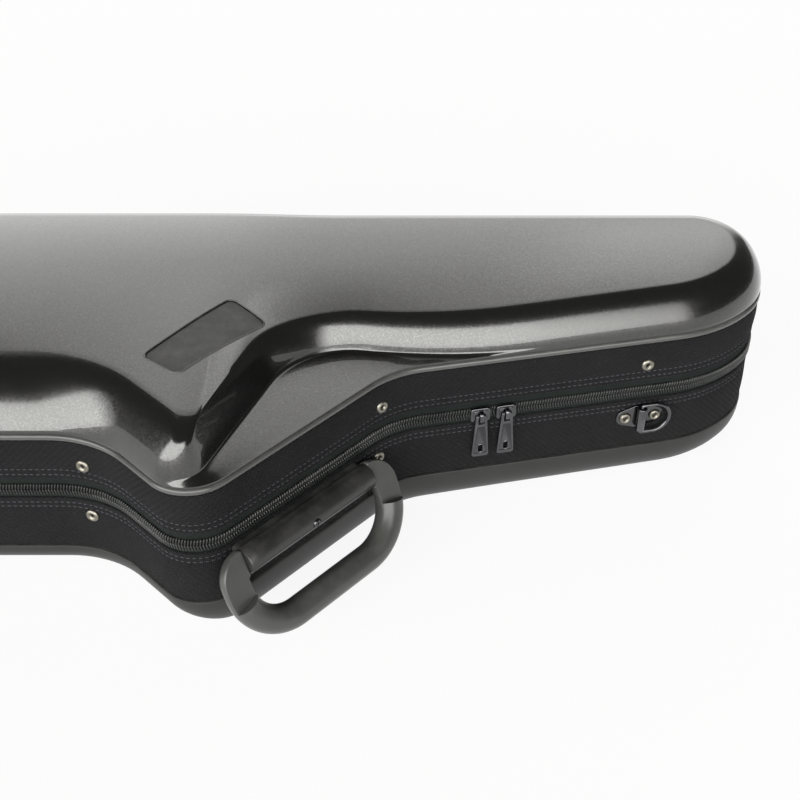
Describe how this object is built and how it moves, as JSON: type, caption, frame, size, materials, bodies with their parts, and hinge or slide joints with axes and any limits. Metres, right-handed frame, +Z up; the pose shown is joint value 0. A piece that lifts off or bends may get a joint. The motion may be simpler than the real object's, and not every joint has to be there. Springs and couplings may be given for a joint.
{
  "type": "alto saxophone case",
  "caption": "Contoured hard case for an alto saxophone with a glossy lid, fabric side bands, a zip, a folding side handle and strap rings.",
  "frame": {"origin": "on the flat underside that the case rests on, halfway along the case's length and halfway between its straight back and its straight front's nose line, as the mount base_rest", "axes": "+X along the case's length towards the narrow neck end; +Y from the zip and handle side towards the hinge at the back; +Z up, from the pan to the lid"},
  "size_m": [0.675, 0.3038, 0.1689],
  "materials": {
    "lid_paint": "glossy dark metallic lacquer",
    "pan_shell": "satin dark grey",
    "label": "matte grey",
    "rim_bead": "satin grey trim",
    "band_fabric": "near-black woven nylon",
    "zip_tape": "dark green-grey tape",
    "zip_coil": "moulded nylon coil",
    "handle_plastic": "satin black",
    "seat_rubber": "matte black",
    "black_nickel": "black nickel plating",
    "rivet_nickel": "antique nickel",
    "backing_steel": "plain steel",
    "plush": "black plush over foam"
  },
  "bodies": {
    "base": {"lower_shell": "pan_shell", "lower_band": "band_fabric", "lower_zip_tape": "zip_tape", "lower_zip_coil": "zip_coil", "hinge_strip_lower": "band_fabric", "base_insert": "plush", "zip_end_tab_bow": "band_fabric", "zip_end_tab_neck": "band_fabric", "handle_base": "handle_plastic", "handle_seat": "seat_rubber", "handle_screw": "black_nickel", "handle_backing_plate": "backing_steel", "strap_plate_neck": "black_nickel", "strap_plate_bow": "black_nickel", "strap_rivet_neck_outer": "rivet_nickel", "strap_rivet_neck_inner": "rivet_nickel", "strap_rivet_bow_outer": "rivet_nickel", "strap_rivet_bow_inner": "rivet_nickel", "lower_front_rivet_bow": "rivet_nickel", "lower_front_rivet_waist": "rivet_nickel", "lower_back_rivet_bow": "rivet_nickel", "lower_back_rivet_middle": "rivet_nickel", "lower_back_rivet_neck": "rivet_nickel"},
    "lid": {"lid_shell": "lid_paint", "label_plate": "label", "lid_rim_bead": "rim_bead", "upper_band": "band_fabric", "upper_zip_tape": "zip_tape", "upper_zip_coil": "zip_coil", "hinge_strip_upper": "band_fabric", "lid_insert": "plush", "upper_front_rivet_bow": "rivet_nickel", "upper_front_rivet_waist": "rivet_nickel", "upper_front_rivet_neck": "rivet_nickel", "upper_back_rivet_bow": "rivet_nickel", "upper_back_rivet_middle": "rivet_nickel", "upper_back_rivet_neck": "rivet_nickel"},
    "handle": {"handle_bail": "handle_plastic"},
    "slider_left": {"slider_left": "black_nickel"},
    "slider_right": {"slider_right": "black_nickel"},
    "pull_left": {"pull_left": "black_nickel"},
    "pull_right": {"pull_right": "black_nickel"},
    "ring_neck": {"strap_ring_neck": "black_nickel"},
    "ring_bow": {"strap_ring_bow": "black_nickel"}
  },
  "joints": [
    {"name": "lid_hinge", "type": "hinge", "parent": "base", "child": "lid", "pos_m": [0, 0.14, 0.0836], "axis": [-1, 0, 0], "range_deg": [0, 110]},
    {"name": "handle_swing", "type": "hinge", "parent": "base", "child": "handle", "pos_m": [0.02254, -0.09894, 0.068], "axis": [-0.678, -0.735, 0], "range_deg": [-19, 146]},
    {"name": "slider_left_slide", "type": "slide", "parent": "base", "child": "slider_left", "axis": [0.9783, 0.2072, 0], "range_m": [-0.03, 0]},
    {"name": "slider_right_slide", "type": "slide", "parent": "base", "child": "slider_right", "axis": [0.9781, 0.2082, 0], "range_m": [0, 0.055]},
    {"name": "pull_left_hinge", "type": "hinge", "parent": "slider_left", "child": "pull_left", "pos_m": [0.13531, -0.01756, 0.0836], "axis": [-0.9783, -0.2072, 0], "range_deg": [0, 170]},
    {"name": "pull_right_hinge", "type": "hinge", "parent": "slider_right", "child": "pull_right", "pos_m": [0.15281, -0.01385, 0.0836], "axis": [-0.9781, -0.2082, 0], "range_deg": [0, 170]},
    {"name": "ring_neck_hinge", "type": "hinge", "parent": "base", "child": "ring_neck", "pos_m": [0.24885, 0.00648, 0.0626], "axis": [0, 0, -1], "range_deg": [0, 165]},
    {"name": "ring_bow_hinge", "type": "hinge", "parent": "base", "child": "ring_bow", "pos_m": [-0.2125, -0.09505, 0.0626], "axis": [0, 0, -1], "range_deg": [0, 165]}
  ]
}
